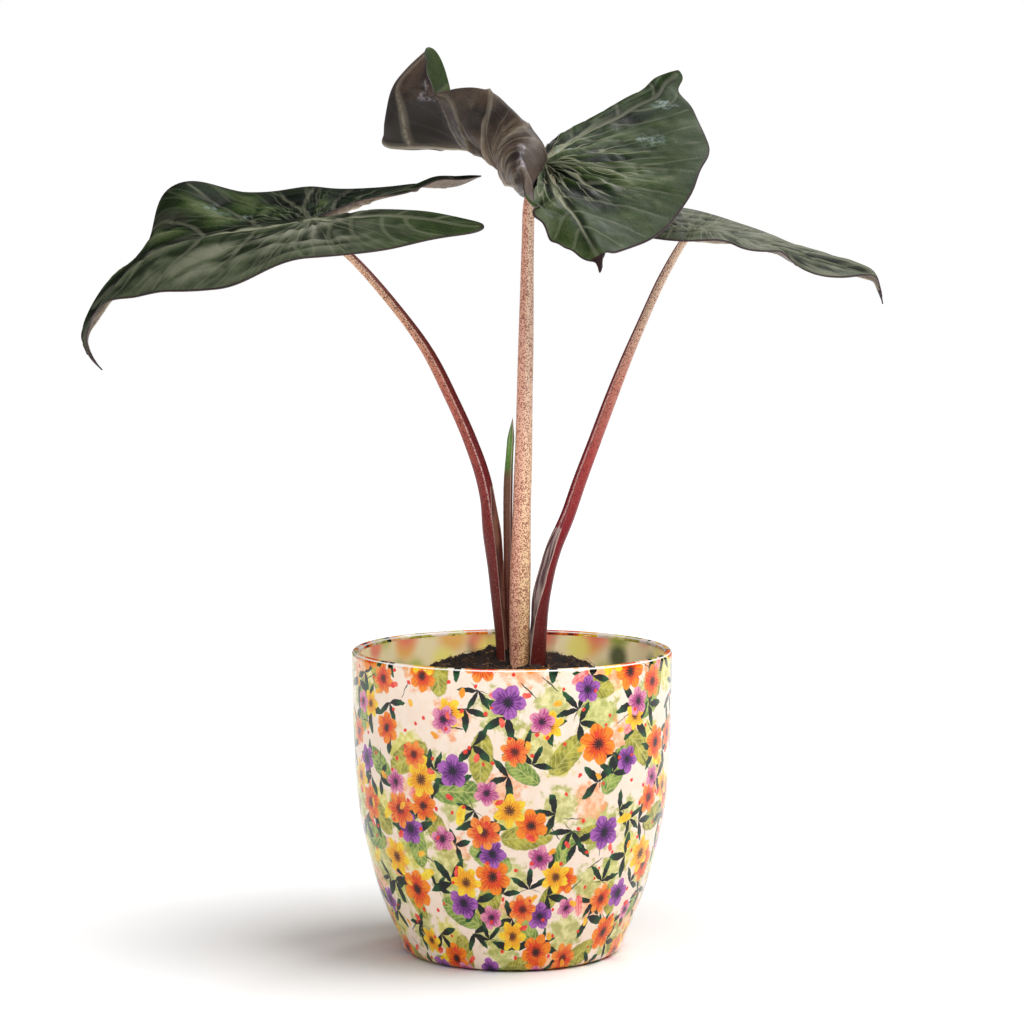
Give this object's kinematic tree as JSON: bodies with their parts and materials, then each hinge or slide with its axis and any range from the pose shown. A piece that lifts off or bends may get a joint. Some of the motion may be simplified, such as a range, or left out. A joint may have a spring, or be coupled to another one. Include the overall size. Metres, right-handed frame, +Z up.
{
  "type": "potted alocasia house plant",
  "caption": "House plant with large arrow-shaped, curled leaves on long sheathed stalks, set in soil in a rounded glazed pot.",
  "frame": {"origin": "centre of the pot's flat underside", "axes": "+Z up along the pot's axis; +X to the right and +Y away from the viewer of the picture"},
  "size_m": [0.3583, 0.1986, 0.3998],
  "materials": {
    "glaze": "glossy glazed ceramic with a printed pattern of blossoms and leaves",
    "grow_pot_plastic": "thin black nursery pot plastic",
    "soil": "loose dark brown fibrous potting mix",
    "corm": "rough brown tuber skin",
    "stalk_red": "smooth plant stalk, wine red with dark speckles",
    "stalk_cream": "smooth plant stalk, cream and pink with fine dark red speckles",
    "spear": "smooth rolled young leaf, green to brown",
    "leaf": "satin dark green leaf with silvery sheen above, purple-brown below"
  },
  "bodies": {
    "root": {"pot": "glaze", "grow_pot": "grow_pot_plastic", "soil": "soil", "corm": "corm", "petiole_left": "stalk_red", "petiole_centre": "stalk_cream", "petiole_right": "stalk_red", "new_leaf": "spear", "blade_left": "leaf", "blade_centre": "leaf", "blade_right": "leaf"}
  },
  "joints": []
}
